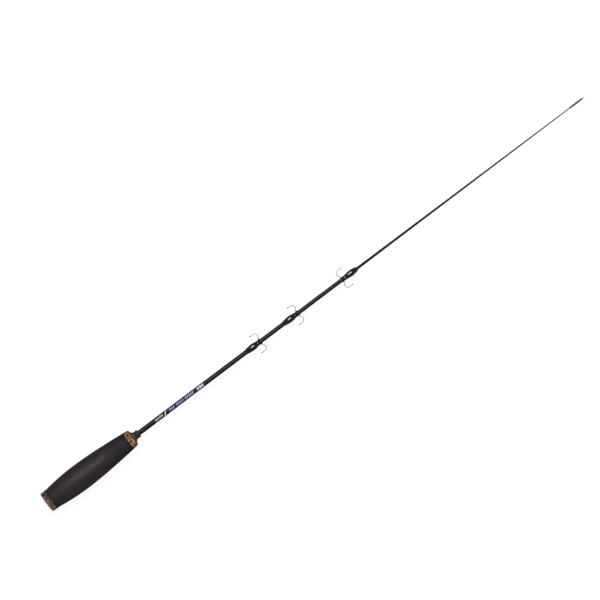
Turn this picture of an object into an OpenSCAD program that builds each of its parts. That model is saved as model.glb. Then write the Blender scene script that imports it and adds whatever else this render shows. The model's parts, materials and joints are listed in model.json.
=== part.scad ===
// Telescopic ice fishing rod, drawn extended.
// The rod lies along +X with the centre of its butt face at the origin. The hooks lie in the XY plane.

/* [Handle] */
// Length of the cork cap at the butt
butt_cork_len = 5.2; // [3:0.1:10]
// Radius of the cork cap where it meets the handle
butt_cork_r = 9.82; // [8.5:0.01:11]
// How much slimmer the cork cap is at its butt face
butt_cork_draft = 0.25; // [0:0.05:1]
// Radius of the rounded edge of the butt face
butt_edge_r = 0.6; // [0.3:0.1:2]
// Length of the dark disc behind the grip
rear_accent_len = 1.4; // [0.8:0.1:3]
// Length of the foam grip
grip_len = 83.7; // [60:0.1:120]
// Distance from the grip's rear end to its thickest place
grip_belly_pos = 31.8; // [15:0.1:50]
// Radius of the grip at its thickest place
grip_belly_r = 12.1; // [11:0.05:16]
// Radius of the grip at its rear end
grip_rear_r = 9.75; // [9:0.05:11]
// Radius of the grip at its front end
grip_front_r = 8.68; // [8:0.01:10]
// Length of the dark ring in front of the grip
front_accent_len = 1.2; // [0.8:0.1:3]
// Length of the front cork ring
front_cork_len = 5.1; // [4.5:0.1:10]
// Radius that the front cork ring narrows to
front_cork_end_r = 7.85; // [7:0.05:8.6]
// Radius of the rounded front edge of the front cork ring
front_edge_r = 0.6; // [0.2:0.1:1.5]

/* [Ferrule end] */
// Thickness of the dark washer on the front cork ring
washer_len = 0.7; // [0.4:0.1:1.5]
// Radius of the dark washer
washer_r = 5.6; // [4.7:0.1:6]
// Length of the stepped winding check
check_len = 1.1; // [0.8:0.1:3]
// Radius of the winding check at the washer
check_r = 4.6; // [4.1:0.05:4.7]
// Length of the rubber collar on the tube
collar_len = 4.5; // [3.6:0.1:8]
// Radius of the collar's barrel
collar_r = 3.55; // [3:0.05:3.6]
// Radius of the collar's front flange
collar_flange_r = 3.85; // [3.8:0.05:5]

/* [Outer tube] */
// Distance from the butt face to the tube's mouth
mouth_x = 346.7; // [340:0.1:420]
// Outer radius of the tube inside the handle
tube_r = 2.35; // [2.2:0.01:3]
// Outer radius of the tube at its mouth
mouth_r = 1.8; // [1.7:0.01:2]
// Radius of the tube's bore
tube_bore_r = 1.31; // [1.3:0.01:1.4]
// Radius of the narrower bore at the mouth, which holds the tip section in
mouth_bore_r = 1.26; // [1.2:0.01:1.28]
// Length of that narrower bore
mouth_bore_len = 6; // [3:0.5:10]
// Distance from the butt face to the front of the stop plug in the tube
stop_plug_x = 60; // [40:1:61]
// Length of the stop plug
stop_plug_len = 9; // [4:0.5:20]

/* [Tip section] */
// Whole length of the rod when extended
rod_len = 600; // [560:1:700]
// Length of the thick end that stays in the tube
tip_flare_len = 18.5; // [10:0.5:30]
// Radius of the bare end that stands out of the nod sleeve
tip_end_r = 0.42; // [0.3:0.01:0.45]
// Radial play of the tip section in the tube and of the wire's turn on its sleeve
play = 0.025; // [0.015:0.005:0.05]
// Length of the red nod sleeve
nod_len = 14; // [8:0.5:16]
// Distance from the nod sleeve's front end to the end of the rod
nod_setback = 2; // [2:0.5:4]
// Radius of the nod sleeve at its middle
nod_r = 0.875; // [0.75:0.005:1.1]
// Radius of the nod sleeve at its ends
nod_end_r = 0.7; // [0.65:0.01:0.75]
// Radius of the nod sleeve's bore, which still clears the tapered tip 6 mm further back
nod_bore_r = 0.5; // [0.5:0.01:0.55]

/* [Winders] */
// Distance from the butt face to the hook foot of the rear winder
foot_1_x = 238.4; // [200:0.1:242]
// Distance from the butt face to the hook foot of the middle winder
foot_2_x = 280.2; // [275:0.1:290]
// Distance from the butt face to the hook foot of the front winder, which faces the other way
foot_3_x = 330.5; // [325:0.1:330.6]
// Greatest radius of the rear, middle and front olive sleeves
olive_r = [3.08, 3.06, 2.93]; // [2.6:0.01:3.5]
// Length from hook foot to the far end of the rear, middle and front olive sleeves
olive_len = [15.6, 15.7, 16.1]; // [14:0.1:16.2]
// Distance from hook foot to the thickest place of the rear, middle and front olive sleeves
olive_peak = [8.6, 8.5, 9.8]; // [8:0.1:12]
// Radial play of the rubber sleeves on the tapered tube at rest
sleeve_play = 0.08; // [0.07:0.01:0.1]
// Radius of the hook wire
wire_r = 0.25; // [0.2:0.01:0.26]
// Half of the thickness of the rubber binding round the wire's turn
binding_half_t = 0.33; // [0.32:0.01:0.4]
// Half of the length of that binding
binding_half_len = 0.54; // [0.5:0.01:0.8]
// Distance from the rod's axis to the hooks' straight arms
arm_r = 9; // [8:0.1:11]
// Radius of the hooks' bend
bend_r = 2.9; // [2:0.1:3.2]
// How far the hooks lean outwards from their feet, in degrees
lean = 30; // [15:1:40]
// Distance from the hook foot back to the hooks' ends
arm_back = 4.4; // [4:0.1:7]
// Radius of the beads on the hooks' ends
bead_r = 0.55; // [0.4:0.05:0.8]

/* [Hidden] */
$fn = 96;
rear_accent_x = butt_cork_len;
grip_x = rear_accent_x + rear_accent_len;
front_accent_x = grip_x + grip_len;
front_cork_x = front_accent_x + front_accent_len;
washer_x = front_cork_x + front_cork_len;
check_x = washer_x + washer_len;
collar_x = check_x + check_len;
collar_end = collar_x + collar_len;
tube_taper = (tube_r - mouth_r) / (mouth_x - collar_end);
flare_end = mouth_x - mouth_bore_len - 0.5;
tip_neck_end = mouth_x + 0.5;
nod_x = rod_len - nod_setback - nod_len;
foot_x = [foot_1_x, foot_2_x, foot_3_x];
// The rear and middle hooks point back to the handle, the front ones to the tip
facing = [1, 1, -1];
sleeve_wall = 0.13;
// The wire's turn round the neck is a little fatter than the wire
turn_r = wire_r + 0.03;
// The wire is a hair fatter in its bend, and its straight stretches reach a little way into it
bend_swell = 0.01;
bend_grip = 0.1;
neck_len = 2.5;
groove_half = binding_half_len + 0.08;
lip_len = 0.55;
curve_steps = 24;

// Outer radius of the tube at distance x from the butt face
function tube_r_at(x) = tube_r - tube_taper * max(0, x - collar_end);

// Radius of the grip at distance s from its own rear end
function grip_r_at(s) =
  s < grip_belly_pos
  ? grip_belly_r - (grip_belly_r - grip_rear_r) * pow(1 - s / grip_belly_pos, 2)
  : grip_belly_r - (grip_belly_r - grip_front_r)
    * pow((s - grip_belly_pos) / (grip_len - grip_belly_pos), 1.6);

// Radius of winder n's bore at distance u from its hook foot, towards its olive
function bore_r_at(n, u) = tube_r_at(foot_x[n] - facing[n] * u) + sleeve_play;

// Radius of the groove that the wire turns in
function groove_r(n) = bore_r_at(n, 0) + sleeve_wall;

// Distance from the rod's axis to the middle of the binding and of the wire's turn in it
function foot_r(n) = groove_r(n) + play + binding_half_t;

// A curve of points from (u0, r0) up to (u1, r1), flat at its top
function rise(u0, r0, u1, r1) = [
  for (i = [0 : curve_steps])
    let (t = i / curve_steps)
    [r0 + (r1 - r0) * pow(sin(90 * t), 1.25), u0 + (u1 - u0) * t]
];

// The same curve walked the other way, from its top down
function fall(u0, r0, u1, r1) = [
  for (i = [curve_steps : -1 : 0])
    rise(u1, r1, u0, r0)[i]
];

// Turns an outline of [radius, distance] points round the rod's axis
module turned(outline) {
  rotate([0, 90, 0])
    rotate_extrude()
      polygon(outline);
}

// A round bar along X from x0 to x1
module bar(x0, x1, r) {
  translate([x0, 0, 0])
    rotate([0, 90, 0])
      cylinder(h = x1 - x0, r = r);
}

module rear_cork_cap() {
  face_r = butt_cork_r - butt_cork_draft;
  edge = [
    for (a = [-90 : 15 : 0])
      [face_r - butt_edge_r + butt_edge_r * cos(a), butt_edge_r + butt_edge_r * sin(a)]
  ];
  color("peru")
    turned(concat([[0, 0]], edge, [[butt_cork_r, butt_cork_len], [0, butt_cork_len]]));
}

module rear_accent_disc() {
  color("#2b211c")
    turned([
      [0, rear_accent_x],
      [butt_cork_r, rear_accent_x],
      [grip_rear_r, grip_x],
      [0, grip_x]
    ]);
}

module grip() {
  outline = [
    for (i = [0 : 2 * curve_steps])
      let (s = grip_len * i / (2 * curve_steps))
      [grip_r_at(s), grip_x + s]
  ];
  color("#333033")
    turned(concat([[tube_r, grip_x]], outline, [[tube_r, front_accent_x]]));
}

module front_accent_ring() {
  color("#2b211c")
    turned([
      [tube_r, front_accent_x],
      [grip_front_r, front_accent_x],
      [grip_front_r - 0.04, front_cork_x],
      [tube_r, front_cork_x]
    ]);
}

module front_cork_ring() {
  cork_r = grip_front_r - 0.06;
  edge = [
    for (a = [0 : 15 : 90])
      [
        front_cork_end_r - front_edge_r + front_edge_r * cos(a),
        washer_x - front_edge_r + front_edge_r * sin(a)
      ]
  ];
  color("burlywood")
    turned(concat([[tube_r, front_cork_x], [cork_r, front_cork_x]], edge,
      [[tube_r, washer_x]]));
}

module check_washer() {
  color("#241c1a")
    turned([
      [tube_r, washer_x],
      [washer_r, washer_x],
      [washer_r, washer_x + washer_len / 2],
      [washer_r - washer_len / 2, check_x],
      [tube_r, check_x]
    ]);
}

module winding_check() {
  step_r = check_r - 0.35;
  color("#6b625e")
    turned([
      [tube_r, check_x],
      [check_r, check_x],
      [check_r, check_x + check_len * 0.45],
      [step_r, check_x + check_len * 0.6],
      [step_r, collar_x - 0.15],
      [step_r - 0.15, collar_x],
      [tube_r, collar_x]
    ]);
}

module tube_collar() {
  bead = 0.3;
  groove_x = collar_x + collar_len * 0.36;
  flange_x = collar_x + collar_len * 0.56;
  color("#1c1d20")
    turned([
      [tube_r, collar_x],
      [collar_r + 0.05, collar_x],
      [collar_r + 0.2, collar_x + bead],
      [collar_r + 0.2, groove_x - bead],
      [collar_r - 0.1, groove_x],
      [collar_r - 0.1, flange_x - bead],
      [collar_flange_r, flange_x + bead],
      [collar_flange_r, collar_end - 2 * bead],
      [collar_flange_r - bead, collar_end - bead / 2],
      [collar_flange_r - 3 * bead, collar_end],
      [tube_r, collar_end]
    ]);
}

module outer_tube() {
  edge = 0.12;
  step_x = mouth_x - mouth_bore_len;
  color("#2a2b2e")
    difference() {
      turned([
        [0, grip_x],
        [tube_r, grip_x],
        [tube_r, collar_end],
        [mouth_r, mouth_x - edge],
        [mouth_r - edge, mouth_x],
        [0, mouth_x]
      ]);
      bar(grip_x - 1, step_x, tube_bore_r);
      bar(step_x - 1, mouth_x + 1, mouth_bore_r);
    }
}

module stop_plug() {
  color("#3a3a3a")
    bar(stop_plug_x - stop_plug_len, stop_plug_x, tube_bore_r);
}

module tip_blank() {
  flare_r = tube_bore_r - play;
  neck_r = mouth_bore_r - play;
  dome = 0.3;
  color("#1d1e20")
    turned([
      [0, flare_end - tip_flare_len],
      [flare_r - 0.2, flare_end - tip_flare_len],
      [flare_r, flare_end - tip_flare_len + 0.4],
      [flare_r, flare_end],
      [neck_r, flare_end + 0.4],
      [neck_r, tip_neck_end],
      [tip_end_r, rod_len - nod_setback],
      [tip_end_r, rod_len - dome],
      [tip_end_r * 0.8, rod_len - dome * 0.4],
      [tip_end_r * 0.4, rod_len],
      [0, rod_len]
    ]);
}

module nod_sleeve() {
  outline = [
    for (i = [0 : curve_steps])
      let (t = i / curve_steps)
      [nod_end_r + (nod_r - nod_end_r) * pow(sin(180 * t), 0.7), nod_x + nod_len * t]
  ];
  color("red")
    turned(concat([[nod_bore_r, nod_x]], outline, [[nod_bore_r, nod_x + nod_len]]));
}

module winder_sleeve(n) {
  groove = groove_r(n);
  neck = groove + 0.12;
  far = olive_len[n];
  peak = olive_peak[n];
  far_r = bore_r_at(n, far) + 0.12;
  front = -groove_half - lip_len;
  outside = concat(
    [
      [groove + 0.12, front],
      [groove + 0.22, front + 0.15],
      [groove + 0.22, -groove_half],
      [groove, -groove_half],
      [groove, groove_half],
      [neck, groove_half]
    ],
    rise(neck_len, neck, peak, olive_r[n]),
    fall(peak, olive_r[n], far, far_r)
  );
  color("#151516")
    translate([foot_x[n], 0, 0])
      rotate([0, 90, 0])
        mirror([0, 0, facing[n] > 0 ? 1 : 0])
          rotate_extrude()
            polygon(concat([[bore_r_at(n, front), front]], outside, [[bore_r_at(n, far), far]]));
}

// One hook in the XY plane, from its foot on the wire's turn to the end of its arm
module hook(n) {
  leg = (arm_r - bend_r - bend_r * sin(lean) - foot_r(n)) / cos(lean);
  bend_x = leg * sin(lean) - bend_r * cos(lean);
  translate([0, foot_r(n), 0])
    rotate([-90, 0, -lean])
      cylinder(h = leg + bend_grip, r = wire_r);
  translate([bend_x, arm_r - bend_r, 0])
    rotate([0, 0, -lean])
      rotate_extrude(angle = 90 + lean)
        translate([bend_r, 0, 0])
          circle(r = wire_r + bend_swell);
  translate([-arm_back, arm_r, 0])
    rotate([0, 90, 0])
      cylinder(h = bend_x + arm_back + bend_grip, r = wire_r);
}

// The wire: one turn round the sleeve's neck with a hook on either side
module wire(n) {
  translate([foot_x[n], 0, 0])
    mirror([facing[n] > 0 ? 0 : 1, 0, 0]) {
      rotate([0, 90, 0])
        rotate_extrude()
          translate([foot_r(n), 0, 0])
            circle(r = turn_r);
      hook(n);
      mirror([0, 1, 0])
        hook(n);
    }
}

module winder_hooks(n) {
  color("#b9bcc0")
    wire(n);
}

module winder_binding(n) {
  outline = [
    for (i = [0 : curve_steps - 1])
      let (a = 360 * i / curve_steps)
      [foot_r(n) + binding_half_t * cos(a), foot_x[n] + binding_half_len * sin(a)]
  ];
  color("#1b1b1c")
    difference() {
      turned(outline);
      wire(n);
    }
}

module winder_beads(n) {
  // The wire ends in a blind hole at the bead's middle, whose rim lies at this angle
  rim = acos(wire_r / bead_r);
  ball = [
    for (i = [0 : curve_steps])
      let (a = -90 + (90 + rim) * i / curve_steps)
      [bead_r * cos(a), bead_r * sin(a)]
  ];
  color("#8d9095")
    for (side = [-1, 1])
      translate([foot_x[n] - facing[n] * arm_back, side * arm_r, 0])
        mirror([facing[n] > 0 ? 0 : 1, 0, 0])
          turned(concat(ball, [[wire_r, 0], [0, 0]]));
}

module winder_1_sleeve() { winder_sleeve(0); }
module winder_1_binding() { winder_binding(0); }
module winder_1_hooks() { winder_hooks(0); }
module winder_1_beads() { winder_beads(0); }
module winder_2_sleeve() { winder_sleeve(1); }
module winder_2_binding() { winder_binding(1); }
module winder_2_hooks() { winder_hooks(1); }
module winder_2_beads() { winder_beads(1); }
module winder_3_sleeve() { winder_sleeve(2); }
module winder_3_binding() { winder_binding(2); }
module winder_3_hooks() { winder_hooks(2); }
module winder_3_beads() { winder_beads(2); }

rear_cork_cap();
rear_accent_disc();
grip();
front_accent_ring();
front_cork_ring();
check_washer();
winding_check();
tube_collar();
outer_tube();
stop_plug();
tip_blank();
nod_sleeve();
winder_1_sleeve();
winder_1_binding();
winder_1_hooks();
winder_1_beads();
winder_2_sleeve();
winder_2_binding();
winder_2_hooks();
winder_2_beads();
winder_3_sleeve();
winder_3_binding();
winder_3_hooks();
winder_3_beads();
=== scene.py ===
"""Telescopic ice fishing rod, extended and lying on a pale floor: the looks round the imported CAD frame.

Everything is in metres in the part's own frame: the rod lies along +X with its butt face at x = 0,
and the winders' hooks lie in the XY plane.
"""
import json
import math
import random

import bpy
import numpy as np
from mathutils import Matrix, Vector, noise


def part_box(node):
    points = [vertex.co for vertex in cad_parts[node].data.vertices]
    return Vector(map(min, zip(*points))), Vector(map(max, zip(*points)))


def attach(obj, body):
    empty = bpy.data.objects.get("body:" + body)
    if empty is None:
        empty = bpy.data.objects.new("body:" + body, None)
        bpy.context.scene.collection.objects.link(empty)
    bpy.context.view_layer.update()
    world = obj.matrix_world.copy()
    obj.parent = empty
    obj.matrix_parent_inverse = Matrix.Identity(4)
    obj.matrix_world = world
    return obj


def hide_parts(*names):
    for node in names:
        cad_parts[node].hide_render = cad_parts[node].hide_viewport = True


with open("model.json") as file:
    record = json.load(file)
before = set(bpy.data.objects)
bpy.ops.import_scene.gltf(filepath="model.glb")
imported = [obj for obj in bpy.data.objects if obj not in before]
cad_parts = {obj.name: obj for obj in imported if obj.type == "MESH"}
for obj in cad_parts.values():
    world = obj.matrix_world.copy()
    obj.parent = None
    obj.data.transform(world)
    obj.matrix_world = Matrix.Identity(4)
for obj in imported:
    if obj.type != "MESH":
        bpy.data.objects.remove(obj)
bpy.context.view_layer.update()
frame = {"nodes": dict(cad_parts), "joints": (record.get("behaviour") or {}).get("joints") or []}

MM = 0.001

# The picture: the camera looks straight down, and the rod rises from left to right
PICTURE_WIDTH = 0.5352  # what it shows from side to side
PICTURE_MIDDLE = Vector((0.2892, 0.0082, 0.0))
CAMERA_HEIGHT = 3.0
SENSOR_WIDTH = 36.0  # in millimetres, as Blender has it
ROD_ANGLE = math.radians(37.04)
ROD_MIDDLE = Vector((0.3, 0.0, 0.0))  # what the lamps face
FLOOR_SIZE = 60.0

# Sizes repeated from the CAD model
BUTT_EDGE_R = 0.6 * MM  # rounded edge of the butt face
BUTT_DRAFT = 0.25 * MM  # how much the rear cork's radius grows from the butt face to its front
TUBE_STRAIGHT_R = 2.35 * MM  # radius of the tube as far as the collar's front, where its taper starts
SLEEVE_PLAY = 0.08 * MM  # gap between a winder's sleeve and the tube
TURN_PLAY = 0.025 * MM  # gap between a winder's binding and its sleeve
GROOVE_HALF = 0.62 * MM  # half the length of the groove that the binding sits in
WIRE_R = 0.25 * MM
BEND_R = 2.9 * MM  # radius of the hooks' bend
LEAN = math.radians(30)  # how far the hooks' legs lean along the rod
WINDERS = (1, 2, 3)

# The cork's grain and the foam's wear
GRAIN = 1.6 * MM  # size of a cork grain
GRAIN_SEED = 7  # without it, Blender's vector noise starts from the clock
SEAM_FIELD = Vector((9, 4, 2))  # shifts into other parts of the noise, so that the seams' strength
PORE_FIELD = Vector((3, 7, 1))  # and the pores don't follow each other
HELD_AND_SHEEN_AT = 38 * MM  # the middle of the grip's belly, where the hand sits and where the painted sheen on the foam is palest
HOOK_SEED = 40  # the hooks' slight bends differ from winder to winder


# ------------------------------------------------------------ measures taken from the frame

def outer_profile(node):
    """[(x, r), ...] of a turned CAD node's outside, from its rear to its front."""
    mesh = frame["nodes"][node].data
    rings = {}
    for face in mesh.polygons:
        if face.normal.y * face.center.y + face.normal.z * face.center.z <= 0:
            continue
        for corner in face.vertices:
            co = mesh.vertices[corner].co
            x = round(co.x, 6)
            rings[x] = max(rings.get(x, 0.0), math.hypot(co.y, co.z))
    return sorted(rings.items())


def bore_radius(node):
    """Smallest distance of a turned CAD node's vertices from the rod's axis."""
    return min(math.hypot(v.co.y, v.co.z) for v in frame["nodes"][node].data.vertices)


def radius_at(profile, x):
    """Radius of a profile at x, by straight lines between its points."""
    xs, rs = zip(*profile)
    return float(np.interp(x, xs, rs))


def joint_x(name):
    """Where along the rod a hinge sits."""
    return next(j["pos_m"][0] for j in frame["joints"] if j["name"] == name)


# ------------------------------------------------------------ mesh making

def new_object(name, verts, faces, material):
    """A smooth-shaded mesh object."""
    mesh = bpy.data.meshes.new(name)
    mesh.from_pydata([tuple(v) for v in verts], [], faces)
    mesh.materials.append(material)
    mesh.polygons.foreach_set("use_smooth", [True] * len(mesh.polygons))
    mesh.update()
    made = bpy.data.objects.new(name, mesh)
    bpy.context.scene.collection.objects.link(made)
    return made


def settle(piece, body, slot, *nodes):
    """Makes a finished piece ride on its body and stand for its CAD nodes."""
    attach(piece, body)
    if nodes:
        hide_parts(*nodes)


def turned(name, outline, material, segments=96):
    """A closed solid turned round the X axis from an outline of (x, r) points, rear to front outside.

    Where the outline starts or ends at r = 0 it closes on the axis, or else its last point is joined
    back to its first, which makes the bore.
    """
    verts, faces, rows = [], [], []
    for x, r in outline:
        if r < 1e-7:
            rows.append([len(verts)] * segments)
            verts.append((x, 0.0, 0.0))
            continue
        rows.append(range(len(verts), len(verts) + segments))
        for i in range(segments):
            a = 2 * math.pi * i / segments
            verts.append((x, r * math.cos(a), r * math.sin(a)))
    pairs = list(zip(rows, rows[1:]))
    if rows[0][0] != rows[0][1]:
        pairs.append((rows[-1], rows[0]))
    for low, high in pairs:
        for i in range(segments):
            j = (i + 1) % segments
            corners = dict.fromkeys((low[i], low[j], high[j], high[i]))
            if len(corners) > 2:
                faces.append(tuple(corners))
    return new_object(name, verts, faces, material)


def between(x0, x1, step):
    """Evenly spaced values from x0 to x1, about step apart, with both ends."""
    return list(np.linspace(x0, x1, max(2, int(round(abs(x1 - x0) / step)) + 1)))


def arc(cx, cr, rx, rr, start, end, steps):
    """Points (x, r) on an ellipse about (cx, cr), from one angle to another in degrees."""
    angles = np.radians(np.linspace(start, end, steps))
    return [(cx + rx * math.cos(a), cr + rr * math.sin(a)) for a in angles]


def dense(outline, step):
    """The same outline with its straight stretches divided into steps."""
    out = [outline[0]]
    for (x0, r0), (x1, r1) in zip(outline, outline[1:]):
        count = max(1, int(math.hypot(x1 - x0, r1 - r0) / step))
        out += [(x0 + (x1 - x0) * i / count, r0 + (r1 - r0) * i / count) for i in range(1, count + 1)]
    return out


def bevelled(profile, cut):
    """A profile whose two ends are cut back by a small bevel."""
    (x0, r0), (x1, r1) = profile[0], profile[-1]
    inner = [p for p in profile if x0 + cut < p[0] < x1 - cut]
    return [
        (x0, r0 - cut), (x0 + 0.3 * cut, r0 - 0.3 * cut), (x0 + cut, radius_at(profile, x0 + cut)),
        *inner,
        (x1 - cut, radius_at(profile, x1 - cut)), (x1 - 0.3 * cut, r1 - 0.3 * cut), (x1, r1 - cut),
    ]


def smooth_path(points, step):
    """Points about step apart on a Catmull-Rom curve through the given points."""
    pts = [2 * points[0] - points[1], *points, 2 * points[-1] - points[-2]]
    out = []
    for a, b, c, d in zip(pts, pts[1:], pts[2:], pts[3:]):
        count = max(1, int((c - b).length / step))
        for i in range(count):
            t = i / count
            out.append(0.5 * (2 * b + (c - a) * t + (2 * a - 5 * b + 4 * c - d) * t * t
                              + (3 * b - a - 3 * c + d) * t ** 3))
    out.append(pts[-2])
    return out


def lumps(co, size):
    """Smooth noise from 0 to 1 at a point, in lumps of about this size."""
    return 0.5 + 0.5 * noise.noise(co / size)


def move_vertices(piece, place):
    """Moves every vertex to place(vertex)."""
    mesh = piece.data
    moved = [place(v) for v in mesh.vertices]
    for v, co in zip(mesh.vertices, moved):
        v.co = co
    mesh.update()


def carve(piece, depth):
    """Moves every vertex inwards along its normal by depth(point), which is never negative."""
    move_vertices(piece, lambda v: v.co - v.normal * depth(v.co))


def paint(piece, layer, value):
    """Stores value(point), from 0 to 1, on every vertex for the material to read."""
    attribute = piece.data.attributes.new(layer, "FLOAT", "POINT")
    attribute.data.foreach_set("value", [value(v.co) for v in piece.data.vertices])


def swept(name, path, radius, material, sides=14):
    """A round bar of even thickness along a path of points, with closed ends."""
    tangents = []
    for i in range(len(path)):
        ahead, behind = path[min(i + 1, len(path) - 1)], path[max(i - 1, 0)]
        tangents.append((ahead - behind).normalized())
    side = tangents[0].orthogonal().normalized()
    verts, faces = [], []
    for i, (point, tangent) in enumerate(zip(path, tangents)):
        if i:
            side = tangents[i - 1].rotation_difference(tangent) @ side
        other = tangent.cross(side)
        for k in range(sides):
            a = 2 * math.pi * k / sides
            verts.append(point + radius * (side * math.cos(a) + other * math.sin(a)))
    for i in range(len(path) - 1):
        for k in range(sides):
            a, b = i * sides + k, i * sides + (k + 1) % sides
            faces.append((a, b, b + sides, a + sides))
    faces.append(tuple(reversed(range(sides))))
    faces.append(tuple(range(len(verts) - sides, len(verts))))
    return new_object(name, verts, faces, material)


def joined(name, parts):
    """Several mesh objects made into one."""
    with bpy.context.temp_override(active_object=parts[0], selected_editable_objects=parts):
        bpy.ops.object.join()
    parts[0].name = name
    return parts[0]


# ------------------------------------------------------------ materials

def srgb(r, g, b):
    """A colour of 0 to 255 steps, as linear numbers with alpha."""
    linear = [
        c / 12.92 if c <= 0.04045 else ((c + 0.055) / 1.055) ** 2.4
        for c in (r / 255, g / 255, b / 255)
    ]
    return (*linear, 1.0)


def shade(colour, factor):
    """The same linear colour made darker, or lighter as far as white."""
    return (*(min(1.0, factor * c) for c in colour[:3]), 1.0)


class Look:
    """A material's nodes. Numbers that are the same all over are set on the shader itself."""

    def __init__(self, name, **even):
        self.material = bpy.data.materials.new(name)
        self.material.use_nodes = True
        self.tree = self.material.node_tree
        self.shader = self.tree.nodes["Principled BSDF"]
        for socket, value in even.items():
            self.shader.inputs[socket.replace("_", " ")].default_value = value
        self.place = self.add("ShaderNodeTexCoord").outputs["Object"]

    def add(self, kind, inputs=None, **props):
        """A node with these properties. An input may be a number or another node's output."""
        made = self.tree.nodes.new(kind)
        for prop, value in props.items():
            setattr(made, prop, value)
        for socket, value in (inputs or {}).items():
            if isinstance(value, bpy.types.NodeSocket):
                self.tree.links.new(value, made.inputs[socket])
            else:
                made.inputs[socket].default_value = value
        return made

    def put(self, socket, output):
        """Links a node's output to the shader."""
        self.tree.links.new(output, self.shader.inputs[socket])

    def stretched(self, x, y, z):
        """The place in the part's frame, multiplied along each axis."""
        return self.add("ShaderNodeMapping", {"Vector": self.place, "Scale": (x, y, z)}).outputs[0]

    def noise(self, per_mm, detail=3.0, rough=0.55, vector=None):
        """Cloudy noise with this many features to a millimetre."""
        return self.add(
            "ShaderNodeTexNoise",
            {"Vector": vector or self.place, "Scale": per_mm / MM, "Detail": detail,
             "Roughness": rough},
        ).outputs["Fac"]

    def cells(self, per_mm, output="Distance"):
        """Cells of Voronoi noise, this many to a millimetre."""
        made = self.add("ShaderNodeTexVoronoi", {"Vector": self.place, "Scale": per_mm / MM})
        return made.outputs[output]

    def turned_lines(self, per_mm):
        """Fine lines that run round the rod, as a lathe or a sanding belt leaves them."""
        return self.noise(per_mm, 2.0, 0.6, self.stretched(1, 0.06, 0.06))

    def stored(self, layer):
        """A value that paint() stored on the mesh."""
        return self.add("ShaderNodeAttribute", attribute_name=layer).outputs["Fac"]

    def ramp(self, value, *stops):
        """A colour that runs through (position, colour) stops."""
        made = self.add("ShaderNodeValToRGB", {"Fac": value})
        made.color_ramp.elements.remove(made.color_ramp.elements[1])
        for i, (position, colour) in enumerate(stops):
            stop = made.color_ramp.elements[0] if i == 0 else made.color_ramp.elements.new(position)
            stop.position, stop.color = position, colour
        return made.outputs["Color"]

    def spread(self, value, low, high, start=0.3, end=0.7):
        """value, from start to end, mapped to run from low to high."""
        return self.add(
            "ShaderNodeMapRange",
            {"Value": value, "From Min": start, "From Max": end, "To Min": low, "To Max": high},
        ).outputs["Result"]

    def mixed(self, share, a, b):
        """Colour a turned into colour b by share. A colour mix reads its inputs 0, 6 and 7."""
        return self.add("ShaderNodeMix", {0: share, 6: a, 7: b}, data_type="RGBA").outputs[2]

    def sum(self, a, b, share=1.0):
        """a plus share times b."""
        return self.add(
            "ShaderNodeMath", {0: b, 1: share, 2: a}, operation="MULTIPLY_ADD"
        ).outputs[0]

    def bump(self, height, millimetres):
        """Raises the surface by that many millimetres where height is 1."""
        made = self.add("ShaderNodeBump", {"Height": height, "Distance": millimetres * MM})
        self.put("Normal", made.outputs["Normal"])


def cork(name, dark, middle, light):
    """Ground cork pressed with a binder: each grain has its own tone, with dark seams between."""
    look = Look(name, Specular_IOR_Level=0.25)
    grain = look.stored("grain")
    fine = look.noise(2.2, 5.0, 0.7)
    tone = look.sum(look.sum(grain, fine, 0.5), -0.25)
    body = look.ramp(tone, (0.14, dark), (0.38, middle), (0.58, light), (0.85, shade(light, 1.5)))
    fleck = look.spread(look.noise(1.3, 3.0, 0.6), 0.0, 0.75, 0.60, 0.68)
    flecked = look.mixed(fleck, body, shade(dark, 0.45))
    look.put("Base Color", look.mixed(look.stored("seam"), flecked, shade(dark, 0.5)))
    look.put("Roughness", look.spread(fine, 0.68, 0.92))
    look.bump(look.sum(fine, look.noise(9.0, 2.0), 0.35), 0.05)
    return look.material


def foam(name, colour, pale):
    """Dense foam rubber, turned and sanded: a matte skin of tiny cells. Its colour turns paler towards
    the belly, which is a painted sheen, and its gloss rises there, where the hand polishes it.
    """
    look = Look(name, Specular_IOR_Level=0.38, Sheen_Weight=0.02, Sheen_Roughness=0.4,
                Sheen_Tint=srgb(190, 180, 195))
    held_and_sheen = look.stored("held_and_sheen")
    cloud = look.noise(0.09, 3.0)
    cells = look.cells(4.2)
    rubbed = look.turned_lines(3.0)
    # painted sheen: the colour grows paler towards the belly and darker towards both ends, mixed with
    # random patches
    patches_and_sheen = look.sum(look.spread(held_and_sheen, -0.35, 0.1, 0.0, 1.0), cloud)
    base = look.mixed(look.spread(patches_and_sheen, 0.0, 1.0, 0.1, 0.65), colour, pale)
    pore = look.spread(cells, 0.55, 0.0, 0.05, 0.28)
    look.put("Base Color", look.mixed(pore, base, shade(colour, 0.4)))
    dull = look.sum(look.sum(cloud, rubbed, 0.4), held_and_sheen, -0.6)
    look.put("Roughness", look.spread(dull, 0.5, 0.84, 0.1, 0.8))
    look.bump(look.sum(cells, rubbed, 0.6), 0.035)
    return look.material


def speckled(name, colour, speck, roughness, per_mm=1.6):
    """A thin pressed layer of rubber with paler crumbs in it."""
    look = Look(name, Specular_IOR_Level=0.3)
    crumbs = look.spread(look.cells(per_mm, output="Color"), 0.0, 1.0, 0.35, 0.9)
    fine = look.noise(4.0, 4.0)
    look.put("Base Color", look.mixed(crumbs, colour, speck))
    look.put("Roughness", look.spread(fine, roughness - 0.1, roughness + 0.1))
    look.bump(look.sum(fine, crumbs, 0.5), 0.02)
    return look.material


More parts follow.
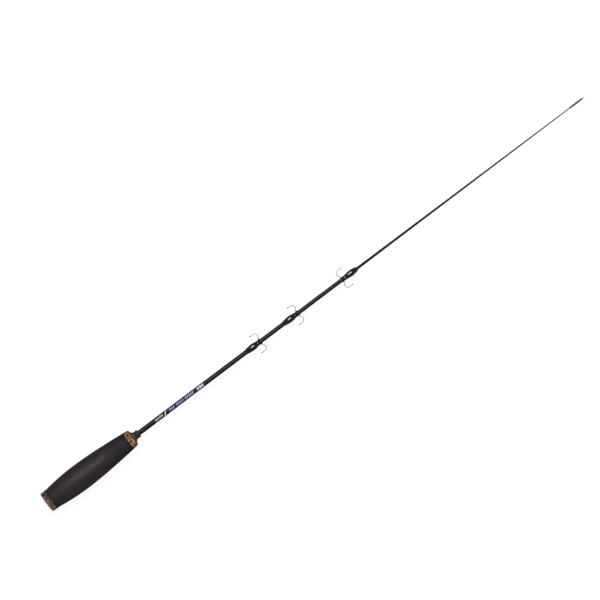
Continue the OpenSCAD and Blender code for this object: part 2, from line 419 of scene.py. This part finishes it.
def moulded(name, colour, worn, roughness, lines_mm=0.004, **even):
    """Moulded or lacquered material with faint lines round the rod and a slightly uneven gloss."""
    look = Look(name, **even)
    cloud = look.noise(0.35, 4.0)
    lines = look.turned_lines(5.0)
    look.put("Base Color", look.mixed(look.spread(cloud, 0.0, 1.0), colour, worn))
    look.put("Roughness", look.spread(look.sum(cloud, lines, 0.5), 0.8 * roughness,
                                      1.25 * roughness, 0.5, 0.95))
    look.bump(look.sum(lines, cloud, 0.3), lines_mm)
    return look.material


def blank(name, colour, sheen, roughness, pitch, gloss):
    """A lacquered glass-fibre blank: faint slanting ridges where the fibre tape was wound."""
    look = Look(name, Specular_IOR_Level=gloss)
    band_at_scale_one = 0.314  # the distance between the Wave node's bands at a scale of 1
    wound = look.add(
        "ShaderNodeTexWave",
        {"Vector": look.stretched(1, 0.12, 0.12), "Scale": band_at_scale_one / pitch,
         "Distortion": 1.2, "Detail": 2.0, "Detail Scale": 1.5},
        bands_direction="X",
    ).outputs["Fac"]
    cloud = look.noise(0.5, 4.0)
    uneven = look.sum(cloud, wound, 0.5)
    look.put("Base Color", look.mixed(look.spread(uneven, 0.0, 1.0, 0.5, 1.0), colour, sheen))
    look.put("Roughness", look.spread(uneven, 0.8 * roughness, 1.25 * roughness, 0.4, 1.1))
    look.bump(look.sum(wound, cloud, 0.5), 0.008)
    return look.material


def drawn_wire(name, colour, roughness):
    """Bright spring wire with faint drawing marks."""
    look = Look(name, Metallic=1.0)
    marks = look.noise(6.0, 3.0)
    look.put("Base Color", look.mixed(look.spread(marks, 0.0, 1.0), colour, shade(colour, 0.8)))
    look.put("Roughness", look.spread(marks, 0.7 * roughness, 1.4 * roughness))
    look.bump(marks, 0.004)
    return look.material


def soft_red(name):
    """Soft translucent silicone tube."""
    look = Look(name, Specular_IOR_Level=0.35, Subsurface_Weight=0.1, Subsurface_Scale=0.0005)
    cloud = look.noise(0.8, 4.0)
    look.put("Base Color", look.mixed(look.spread(cloud, 0.0, 1.0), srgb(118, 9, 11),
                                      srgb(146, 22, 20)))
    look.put("Roughness", look.spread(cloud, 0.34, 0.5))
    look.bump(look.sum(cloud, look.turned_lines(4.0), 0.3), 0.01)
    return look.material


def ink(name, colour, worn, roughness=0.42):
    """Pad-printed ink, thin and a little worn."""
    look = Look(name, Specular_IOR_Level=0.4)
    rubbed = look.noise(2.6, 4.0, 0.65)
    look.put("Base Color", look.mixed(look.spread(rubbed, 0.0, 1.0, 0.45, 0.75), colour, worn))
    look.put("Roughness", look.spread(rubbed, roughness - 0.08, roughness + 0.12))
    look.bump(rubbed, 0.003)
    return look.material


def glowing_white(name):
    """The floor: white paper, lit from below as well, so that shadows on it stay faint."""
    look = Look(name, Base_Color=(0.15, 0.15, 0.15, 1.0), Roughness=0.9,
                Specular_IOR_Level=0.0, Emission_Color=(1.0, 1.0, 1.0, 1.0), Emission_Strength=0.9)
    return look.material


CORK_DARK = cork("cork_butt", srgb(22, 14, 9), srgb(78, 54, 39), srgb(150, 120, 97))
CORK_LIGHT = cork("cork_front", srgb(41, 24, 13), srgb(109, 76, 47), srgb(166, 130, 96))
ACCENT = speckled("accent_layer", srgb(32, 23, 17), srgb(56, 41, 30), 0.7)
FOAM = foam("foam_grip", srgb(33, 28, 33), srgb(46, 37, 45))
# painted shade: the washer's near-black colour also stands for the shadow in the gap between the cork and
# the grey ring
WASHER_AND_SHADE = moulded("washer_and_painted_shade", srgb(27, 15, 9), srgb(37, 24, 17), 0.5, Specular_IOR_Level=0.25)
CHECK = moulded("check_ring", srgb(80, 69, 63), srgb(100, 88, 81), 0.42, Specular_IOR_Level=0.35)
COLLAR = moulded("collar_rubber", srgb(36, 34, 38), srgb(50, 47, 52), 0.45, 0.008,
                 Specular_IOR_Level=0.3)
TUBE = blank("tube_blank", srgb(12, 12, 14), srgb(20, 20, 23), 0.38, 1.6 * MM, 0.3)
TIP = blank("tip_blank", srgb(6, 6, 8), srgb(11, 11, 13), 0.4, 1.1 * MM, 0.15)
PLUG = speckled("plug_rubber", srgb(48, 48, 48), srgb(60, 60, 60), 0.7)
RED = soft_red("nod_silicone")
OLIVE = moulded("olive_rubber", srgb(8, 8, 10), srgb(13, 13, 15), 0.09, 0.001,
                Specular_IOR_Level=0.5, Coat_Weight=1.0, Coat_Roughness=0.03)
BINDING = moulded("binding_rubber", srgb(16, 16, 18), srgb(26, 26, 28), 0.34, 0.008,
                  Specular_IOR_Level=0.45)
STEEL = drawn_wire("hook_steel", srgb(104, 106, 110), 0.28)
BEAD = drawn_wire("bead_steel", srgb(88, 90, 94), 0.4)
NAVY = ink("navy_film", srgb(17, 21, 54), srgb(26, 30, 66), 0.42)
PALE_BLUE = ink("pale_blue_ink", srgb(168, 174, 214), srgb(116, 124, 176))
WHITE_INK = ink("white_ink", srgb(232, 234, 244), srgb(190, 194, 214))
SILVER_INK = ink("silver_ink", srgb(178, 180, 178), srgb(134, 136, 134))
FLOOR = glowing_white("floor_white")


# ------------------------------------------------------------ handle

def cork_grain(co):
    """(tone, seam) of pressed cork at a point: a tone for each grain, and 1 in the seams between."""
    spot = co / GRAIN
    spot = spot + 0.35 * noise.noise_vector(spot * 1.7)
    distances, centres = noise.voronoi(spot)[:2]
    tone = 0.5 + 0.5 * noise.noise(centres[0] * 7.3)
    seam = max(0.0, 1.0 - (distances[1] - distances[0]) / 0.2)
    seam *= 0.45 + 0.55 * noise.noise(spot * 0.6 + SEAM_FIELD)
    return min(1.0, max(0.0, tone)), max(0.0, min(1.0, seam))


def cork_depth(co):
    """How deep the cork's seams and open pores go below its turned surface."""
    spot = co / GRAIN
    pore = max(0.0, noise.noise(spot * 0.9 + PORE_FIELD) - 0.33)
    ripple = 0.5 + 0.5 * noise.noise(spot * 3.1)
    return MM * (0.07 * cork_grain(co)[1] + 0.5 * pore + 0.02 * ripple)


def make_cork(name, outline, material):
    """A turned cork piece with its grain painted on and its seams and pores cut in."""
    piece = turned(name, outline, material, 420)
    paint(piece, "grain", lambda co: cork_grain(co)[0])
    paint(piece, "seam", lambda co: cork_grain(co)[1])
    carve(piece, cork_depth)
    return piece


def make_cork_cap():
    """The butt: a solid disc with a rounded rear edge and a bevelled front one."""
    lo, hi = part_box("rear_cork_cap")
    step, bevel = 0.15 * MM, 0.15 * MM
    face_r = hi.y - BUTT_DRAFT
    flat_r = face_r - BUTT_EDGE_R
    outline = [(lo.x, 0.0), (lo.x, 0.3 * MM)]
    outline += [(lo.x, r) for r in between(0.6 * MM, flat_r - 0.1 * MM, step)]
    outline += arc(lo.x + BUTT_EDGE_R, flat_r, BUTT_EDGE_R, BUTT_EDGE_R, 180, 90, 9)
    outline += dense([outline[-1], (hi.x - bevel, hi.y)], step)[1:]
    outline += [(hi.x, hi.y - bevel), (hi.x, 0.5 * hi.y), (hi.x, 0.0)]
    piece = make_cork("cork_cap", outline, CORK_DARK)
    settle(piece, "handle", "cork_dark", "rear_cork_cap")


def make_front_cork():
    """The front ring, whose rounded front edge follows the CAD model's."""
    lo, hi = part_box("front_cork_ring")
    profile = outer_profile("front_cork_ring")
    bore = bore_radius("front_cork_ring")
    step, bevel = 0.15 * MM, 0.15 * MM
    outline = dense([(lo.x, bore), (lo.x, hi.y - bevel), (lo.x + bevel, hi.y)], 4 * step)
    shoulder = [p for p in profile if p[0] > lo.x + 0.2 * MM]
    outline += dense([outline[-1], *shoulder[:-1]], step)[1:]
    outline += dense([outline[-1], (hi.x, shoulder[-1][1]), (hi.x, bore)], 2 * step)[1:]
    piece = make_cork("front_cork", outline, CORK_LIGHT)
    settle(piece, "handle", "cork_light", "front_cork_ring")


def make_layer(name, node, bore):
    """A thin dark layer between cork and foam, a hair lower than both, with eased edges."""
    profile = [(x, r - 0.04 * MM) for x, r in outer_profile(node)]
    outline = bevelled(dense(profile, 0.2 * MM), 0.1 * MM)
    outline = [(outline[0][0], bore), *outline, (outline[-1][0], bore)]
    piece = turned(name, outline, ACCENT, 160)
    carve(piece, lambda co: 0.03 * MM * lumps(co, 0.7 * MM))
    settle(piece, "handle", "accent", node)


def make_grip():
    """The foam barrel: the CAD model's profile made smooth, with bevelled ends."""
    profile = outer_profile("grip")
    x0, x1 = profile[0][0], profile[-1][0]
    curve = [(p.x, p.y) for p in smooth_path([Vector((x, r, 0)) for x, r in profile], 0.45 * MM)]
    curve = [(x, min(r, radius_at(profile, x) + 0.01 * MM)) for x, r in curve]
    bore = bore_radius("grip")
    outline = [(x0, bore), *bevelled(curve, 0.35 * MM), (x1, bore)]
    piece = turned("grip_foam", outline, FOAM, 180)

    def wear(co):
        """Soft dents and the slight unevenness that sanding leaves."""
        return MM * (0.05 * lumps(co, 14 * MM) + 0.02 * lumps(co, 2.2 * MM))

    def held_and_sheen(co):
        """1 at the belly, where the hand polishes the foam and a painted sheen lightens its colour,
        falling to 0 at both ends.
        """
        away = (co.x - HELD_AND_SHEEN_AT) / (0.5 * (x1 - x0))
        return max(0.0, 1.0 - away * away)

    carve(piece, wear)
    paint(piece, "held_and_sheen", held_and_sheen)
    settle(piece, "handle", "foam", "grip")


def make_washer():
    """The thin disc, bevelled behind and rounded in front. Its dark colour is partly painted shade, for
    the shadowed gap between the cork's front and the grey ring.
    """
    lo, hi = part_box("check_washer")
    bore = bore_radius("check_washer")
    bevel, round_r = 0.1 * MM, 0.3 * MM
    r, middle = hi.y, (lo.x + hi.x) / 2
    outline = [(lo.x, bore), (lo.x, r - bevel), (lo.x + bevel, r), (middle, r)]
    outline += arc(middle, r - round_r, hi.x - middle, round_r, 90, 0, 7)
    outline += [(hi.x, bore)]
    settle(turned("washer", outline, WASHER_AND_SHADE), "handle", "washer", "check_washer")


def make_check():
    """The grey ring, which steps down halfway along, with every edge eased."""
    lo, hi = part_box("winding_check")
    bore = bore_radius("winding_check")
    bevel, shoulder, corner, nose = 0.08 * MM, 0.12 * MM, 0.1 * MM, 0.15 * MM
    r, length = hi.y, hi.x - lo.x
    step_r, step_x = r - 0.35 * MM, lo.x + 0.5 * length
    outline = [(lo.x, bore), (lo.x, r - bevel), (lo.x + bevel, r)]
    outline += arc(step_x - shoulder, r - shoulder, shoulder, shoulder, 90, 0, 5)
    outline += arc(step_x + corner, step_r + corner, corner, corner, 180, 270, 4)
    outline += arc(hi.x - nose, step_r - nose, nose, nose, 90, 0, 5)
    outline += [(hi.x, bore)]
    settle(turned("winding_check_ring", outline, CHECK), "handle", "check_grey", "winding_check")


def make_collar():
    """The spool-shaped rubber collar: a rear ring, a groove and a fatter front flange."""
    lo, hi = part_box("tube_collar")
    bore = bore_radius("tube_collar")
    length, flange_r = hi.x - lo.x, hi.y
    ring_r, waist_r, face_r = flange_r - 0.1 * MM, flange_r - 0.4 * MM, flange_r - 0.9 * MM
    groove, flange = lo.x + 0.36 * length, lo.x + 0.56 * length
    ring_half, flange_half = (groove - lo.x) / 2, (hi.x - flange) / 2
    ring_round, flange_round, ease = 0.5 * MM, 0.55 * MM, 0.05 * MM
    outline = [(lo.x, bore)]
    outline += arc(lo.x + ring_half, ring_r - ring_round, ring_half, ring_round, 180, 0, 13)
    outline += [(groove + ease, waist_r), (flange - ease, waist_r)]
    outline += arc(flange + flange_half, flange_r - flange_round, flange_half, flange_round, 170, 8, 15)
    outline += [(hi.x, face_r), (hi.x, bore)]
    settle(turned("collar", outline, COLLAR, 128), "handle", "collar_rubber", "tube_collar")


# ------------------------------------------------------------ tube, its print, and the tip section

TUBE_PROFILE = outer_profile("outer_tube")


def make_tube():
    """The tapered tube, with a rounded mouth and a bore that is a hair wider behind it."""
    lo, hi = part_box("outer_tube")
    bore = bore_radius("outer_tube")
    straight_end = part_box("tube_collar")[1].x
    mouth_r = radius_at(TUBE_PROFILE, hi.x - 0.13 * MM)
    edge, bevel = 0.16 * MM, 0.1 * MM
    wide_bore, seat_x = bore + 0.05 * MM, hi.x - 6 * MM
    outline = [(lo.x, wide_bore), (lo.x, TUBE_STRAIGHT_R), (straight_end, TUBE_STRAIGHT_R)]
    outline += dense([outline[-1], (hi.x - edge, mouth_r)], 3.0 * MM)[1:]
    outline += arc(hi.x - edge, mouth_r - edge, edge, edge, 80, 0, 5)
    outline += [(hi.x, bore + bevel), (hi.x - bevel, bore), (seat_x, bore), (seat_x, wide_bore)]
    settle(turned("tube", outline, TUBE), "handle", "tube_blank", "outer_tube")


# The print, in millimetres
INK_RISE = 0.012  # how far ink stands out from the tube
FILM_RISE = 0.006  # and the dark blue film
INK_ON_FILM_RISE = 0.016
INK_ROOT = -0.03  # how far every mark reaches into the tube
STRIPE_HALF = 1.25  # half of a stripe's length round the tube
STRIPE_SLANT = 0.35  # how far it leans along the rod for each millimetre round it


def printed(name, marks, material, rise=INK_RISE):
    """Thin raised marks on the tube, each (x0, x1, low, high, slant) in millimetres.

    low and high are distances round the tube from its top line, and slant is how far the mark
    leans along the rod for each millimetre round it.
    """
    verts, faces = [], []
    for x0, x1, low, high, slant in marks:
        rows = between(low, high, 0.2)
        first = len(verts)
        for s in rows:
            for layer in (rise, INK_ROOT):
                for x in (x0, x1):
                    along = (x + slant * s) * MM
                    r = radius_at(TUBE_PROFILE, along)
                    a = s * MM / r
                    r += layer * MM
                    verts.append((along, r * math.sin(a), r * math.cos(a)))
        for i in range(len(rows) - 1):
            top0, top1, under0, under1 = (first + 4 * i + k for k in range(4))
            faces += [
                (top0, top1, top1 + 4, top0 + 4), (under0, under0 + 4, under1 + 4, under1),
                (top0, top0 + 4, under0 + 4, under0), (top1, under1, under1 + 4, top1 + 4),
            ]
        last = first + 4 * (len(rows) - 1)
        faces += [(first, first + 2, first + 3, first + 1), (last, last + 1, last + 3, last + 2)]
    piece = new_object(name, verts, faces, material)
    piece.data.polygons.foreach_set("use_smooth", [False] * len(piece.data.polygons))
    settle(piece, "handle", "tube_blank")


def stripes(start, end, width, gap, half=STRIPE_HALF):
    """Slanting marks side by side from start to end, in millimetres along the rod."""
    count = int((end - start + gap) / (width + gap))
    firsts = [start + i * (width + gap) for i in range(count)]
    return [(x, x + width, -half, half, STRIPE_SLANT) for x in firsts]


def make_print():
    """A plain decoration: slanting stripes, and a dark blue band with more of them. No lettering."""
    printed("silver_stripes", stripes(121.6, 130.6, 1.7, 0.45, 1.05), SILVER_INK)
    printed("white_slash", [(131.9, 133.2, -2.0, 2.1, 0.7)], WHITE_INK)
    printed("navy_band", [(135.6, 176.4, -2.6, 2.6, 0.2)], NAVY, FILM_RISE)
    pale = stripes(137.4, 143.4, 1.1, 0.9)
    pale += stripes(145.2, 153.0, 0.8, 0.8)
    pale += stripes(154.6, 165.2, 1.1, 0.9)
    printed("pale_blue_stripes", pale, PALE_BLUE, INK_ON_FILM_RISE)
    printed("white_stripes", stripes(168.2, 175.4, 1.7, 0.8), WHITE_INK, INK_ON_FILM_RISE)


def make_stop_plug():
    """The small cushion inside the tube that the tip section comes to rest on when it is pushed in."""
    lo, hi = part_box("stop_plug")
    r, cut = hi.y, 0.25 * MM
    outline = [(lo.x, 0.0), (lo.x, r - cut), (lo.x + cut, r), (hi.x - cut, r), (hi.x, r - cut),
               (hi.x, 0.0)]
    settle(turned("cushion_plug", dense(outline, 0.8 * MM), PLUG, 48), "handle", "plug", "stop_plug")


def make_tip():
    """The thin section that telescopes out of the tube."""
    profile = outer_profile("tip_blank")
    first, last = profile[0], profile[-1]
    outline = [(first[0], 0.0), *dense(profile, 3.0 * MM), (last[0], 0.0)]
    settle(turned("tip_section_blank", outline, TIP, 64), "tip_section", "tip_lacquer", "tip_blank")


def make_nod():
    """The red sleeve: a soft tube with the CAD model's outline and bevelled ends."""
    profile = outer_profile("nod_sleeve")
    bore = bore_radius("nod_sleeve")
    lo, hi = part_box("nod_sleeve")
    body = [p for p in profile if lo.x + 0.3 * MM < p[0] < hi.x - 0.3 * MM]
    end_r, bevel_x, bevel_r = profile[0][1], 0.08 * MM, 0.06 * MM
    outline = [(lo.x, bore), (lo.x, end_r - bevel_r), (lo.x + bevel_x, end_r), *body,
               (hi.x - bevel_x, end_r), (hi.x, end_r - bevel_r), (hi.x, bore)]
    piece = turned("nod_tube", dense(outline, 0.35 * MM), RED, 48)
    carve(piece, lambda co: 0.02 * MM * lumps(co, 1.6 * MM))
    settle(piece, "nod", "nod_red", "nod_sleeve")


# ------------------------------------------------------------ line winders

def facing(n):
    """1 where winder n's hooks stand at the front of its sleeve, and -1 where at its rear."""
    lo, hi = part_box(f"winder_{n}_sleeve")
    return 1 if (lo.x + hi.x) / 2 < joint_x(f"winder_{n}_turn") else -1


def grooved(profile, foot, side, groove_r):
    """A sleeve's outline with its binding's groove. side is 1 where the body lies behind the groove."""
    rear_x, front_x, hair = foot - GROOVE_HALF, foot + GROOVE_HALF, 0.02 * MM
    rear = [p for p in profile if p[0] < rear_x - side * hair]
    front = [p for p in profile if p[0] > front_x - side * hair]
    groove = [(rear_x, groove_r), (front_x, groove_r)]
    if side > 0:
        return [*rear, (rear_x, rear[-1][1]), *groove, *front]
    return [*rear, *groove, (front_x, front[0][1]), *front]


def make_olive(n):
    """The glossy olive-shaped sleeve, with its mould seam, neck and end lip."""
    node = f"winder_{n}_sleeve"
    lo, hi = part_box(node)
    groove_r = bore_radius(f"winder_{n}_binding") - TURN_PLAY
    outline = grooved(outer_profile(node), joint_x(f"winder_{n}_turn"), facing(n), groove_r)
    outline = [(lo.x, radius_at(TUBE_PROFILE, lo.x) + SLEEVE_PLAY), *outline,
               (hi.x, radius_at(TUBE_PROFILE, hi.x - 0.1 * MM) + SLEEVE_PLAY)]
    piece = turned(f"olive_{n}", outline, OLIVE, 128)

    def trim(co):
        """Leaves a mould seam standing along both sides, and a slightly wavy surface elsewhere."""
        r = math.hypot(co.y, co.z)
        if r < groove_r + 0.05 * MM:
            return 0.0
        seam = math.exp(-((abs(co.z) / (0.12 * MM)) ** 2))
        return 0.025 * MM * (1 - seam) * (0.8 + 0.2 * noise.noise(co / (3 * MM)))

    carve(piece, trim)
    settle(piece, f"winder_{n}", "olive_rubber", node)


class Wire:
    """Where winder n's wire and binding run, read from the CAD model."""

    def __init__(self, n):
        self.foot = joint_x(f"winder_{n}_turn")
        self.facing = facing(n)
        inner = bore_radius(f"winder_{n}_binding")
        lo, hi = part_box(f"winder_{n}_binding")
        self.half_thick = (hi.z - inner) / 2
        self.half_long = (hi.x - lo.x) / 2
        self.ring_r = inner + self.half_thick
        self.arm_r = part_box(f"winder_{n}_hooks")[1].y - WIRE_R
        lo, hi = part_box(f"winder_{n}_beads")
        self.bead_r = hi.y - self.arm_r
        bead_x = lo.x + self.bead_r if self.facing > 0 else hi.x - self.bead_r
        self.arm_back = abs(self.foot - bead_x)
        self.leg = (self.arm_r - BEND_R - BEND_R * math.sin(LEAN) - self.ring_r) / math.cos(LEAN)

    def at(self, u, y, z):
        """The point that lies u beyond the foot on the hooks' side."""
        return Vector((self.foot + self.facing * u, y, z))

    def hook(self, side, rng):
        """One hook's middle line, from its bead down to the binding, bent slightly by hand."""
        bend_u = self.leg * math.sin(LEAN) - BEND_R * math.cos(LEAN)
        spread, sag = rng.uniform(-0.22, 0.08) * MM, rng.uniform(-0.25, 0.25) * MM
        points = []
        for u in between(-self.arm_back, bend_u, 0.6 * MM)[:-1]:
            share = (bend_u - u) / (bend_u + self.arm_back)
            points.append((u, self.arm_r + spread * share, sag * share))
        for y_r in arc(bend_u, self.arm_r - BEND_R, BEND_R, BEND_R, 90, -math.degrees(LEAN), 18):
            points.append((*y_r, 0.0))
        for share in (0.75, 0.5, 0.32, 0.18):
            reach = self.leg * share
            points.append((reach * math.sin(LEAN), self.ring_r + reach * math.cos(LEAN), 0.0))
        return [self.at(u, side * y, z) for u, y, z in points]

    def half_turn(self):
        """The stretch of wire hidden in the binding, from the +Y side over the top to the -Y side."""
        angles = np.radians(np.linspace(14, 166, 20))
        return [self.at(0.0, self.ring_r * math.cos(a), self.ring_r * math.sin(a)) for a in angles]


def make_hooks(n):
    """One length of spring wire: a hook, half a turn round the neck, and the other hook."""
    wire, rng = Wire(n), random.Random(HOOK_SEED + n)
    left, right = wire.hook(1, rng), wire.hook(-1, rng)
    path = smooth_path([*left, *wire.half_turn(), *reversed(right)], 0.22 * MM)
    settle(swept(f"hooks_{n}", path, WIRE_R, STEEL), f"winder_{n}_swivel", "hook_steel",
           f"winder_{n}_hooks")
    beads = [make_bead(wire, hook[0]) for hook in (left, right)]
    settle(joined(f"beads_{n}", beads), f"winder_{n}_swivel", "bead", f"winder_{n}_beads")


def make_bead(wire, centre):
    """The round bead that the wire's end is melted into, with a small neck on the wire's side."""
    r, neck = wire.bead_r, WIRE_R + 0.07 * MM
    outline = [(-r, 0.0), *arc(0, 0, r, r, 172, 38, 16), (0.92 * r, neck + 0.04 * MM),
               (1.12 * r, neck), (1.2 * r, WIRE_R), (1.2 * r, 0.0)]
    bead = turned("bead", outline, BEAD, 32)
    turn = Matrix.Rotation(0.0 if wire.facing > 0 else math.pi, 4, "Z")
    bead.data.transform(Matrix.Translation(centre) @ turn)
    return bead


def make_binding(n):
    """The rubber ring that holds the wire, swollen where the two legs leave it."""
    wire = Wire(n)
    outline = arc(wire.foot, wire.ring_r, wire.half_long, wire.half_thick, 180, -180, 41)[:-1]
    piece = turned(f"binding_{n}", outline, BINDING, 168)

    def swollen(v):
        """Where a vertex goes: out along the leg on its side, most of all right beside that leg."""
        side = 1 if v.co.y > 0 else -1
        leg = Vector((wire.facing * math.sin(LEAN), side * math.cos(LEAN), 0.0))
        away = v.co - Vector((wire.foot, side * wire.ring_r, 0.0))
        height = away.dot(leg)
        off = (away - leg * height).length
        swell = math.exp(-((off / (0.38 * MM)) ** 2)) if height > 0 else 0.0
        ripple = 0.012 * MM * noise.noise(v.co / (0.8 * MM))
        return v.co + leg * 0.25 * MM * swell + v.normal * ripple

    move_vertices(piece, swollen)
    settle(piece, f"winder_{n}_swivel", "binding_rubber", f"winder_{n}_binding")


# ------------------------------------------------------------ stage, light and camera

def make_floor():
    """The floor, at the grip's lowest point. It neither lights the rod nor shows in its gloss."""
    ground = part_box("grip")[0].z
    half = FLOOR_SIZE / 2
    corners = [(-half, -half, ground), (half, -half, ground), (half, half, ground),
               (-half, half, ground)]
    floor = new_object("floor", corners, [(0, 1, 2, 3)], FLOOR)
    floor.visible_glossy = False
    floor.visible_diffuse = False


def softbox(name, width, depth, at, power, mirrored):
    """A rectangular lamp that faces the middle of the rod. Only a mirrored one shows in gloss."""
    lamp = bpy.data.lights.new(name, "AREA")
    lamp.shape = "RECTANGLE"
    lamp.size, lamp.size_y = width, depth
    lamp.energy = power
    box = bpy.data.objects.new(name, lamp)
    box.location = at
    aim = ROD_MIDDLE - Vector(at)
    box.rotation_euler = aim.to_track_quat("-Z", "Y").to_euler()
    box.visible_camera = False
    box.visible_glossy = mirrored
    bpy.context.scene.collection.objects.link(box)


def light_studio():
    """White surroundings, a key lamp that makes the highlights, and two lamps that fill."""
    world = bpy.data.worlds.new("studio")
    world.use_nodes = True
    background = world.node_tree.nodes["Background"]
    background.inputs["Color"].default_value = (1.0, 1.0, 1.0, 1.0)
    background.inputs["Strength"].default_value = 0.2
    bpy.context.scene.world = world
    softbox("key", 0.4, 0.5, (0.28, 0.42, 1.1), 8.2, mirrored=True)
    softbox("overhead", 2.5, 2.5, (0.3, 0.0, 2.2), 9.0, mirrored=False)
    softbox("front_fill", 1.6, 0.8, (0.3, -1.3, 1.2), 4.0, mirrored=False)


def place_camera():
    """A long lens straight above, turned so that the rod rises to the right."""
    lens = bpy.data.cameras.new("camera")
    lens.sensor_width = SENSOR_WIDTH
    lens.lens = SENSOR_WIDTH * CAMERA_HEIGHT / PICTURE_WIDTH
    camera = bpy.data.objects.new("camera", lens)
    camera.location = PICTURE_MIDDLE + Vector((0.0, 0.0, CAMERA_HEIGHT))
    camera.rotation_euler = (0.0, 0.0, -ROD_ANGLE)
    bpy.context.scene.collection.objects.link(camera)
    bpy.context.scene.camera = camera


# ------------------------------------------------------------ the whole scene

noise.seed_set(GRAIN_SEED)
make_cork_cap()
make_layer("rear_layer", "rear_accent_disc", 0.0)
make_grip()
make_layer("front_layer", "front_accent_ring", bore_radius("front_accent_ring"))
make_front_cork()
make_washer()
make_check()
make_collar()
make_tube()
make_print()
make_stop_plug()
make_tip()
make_nod()
for number in WINDERS:
    make_olive(number)
    make_binding(number)
    make_hooks(number)

make_floor()
light_studio()
place_camera()
bpy.context.scene.view_settings.view_transform = "Standard"
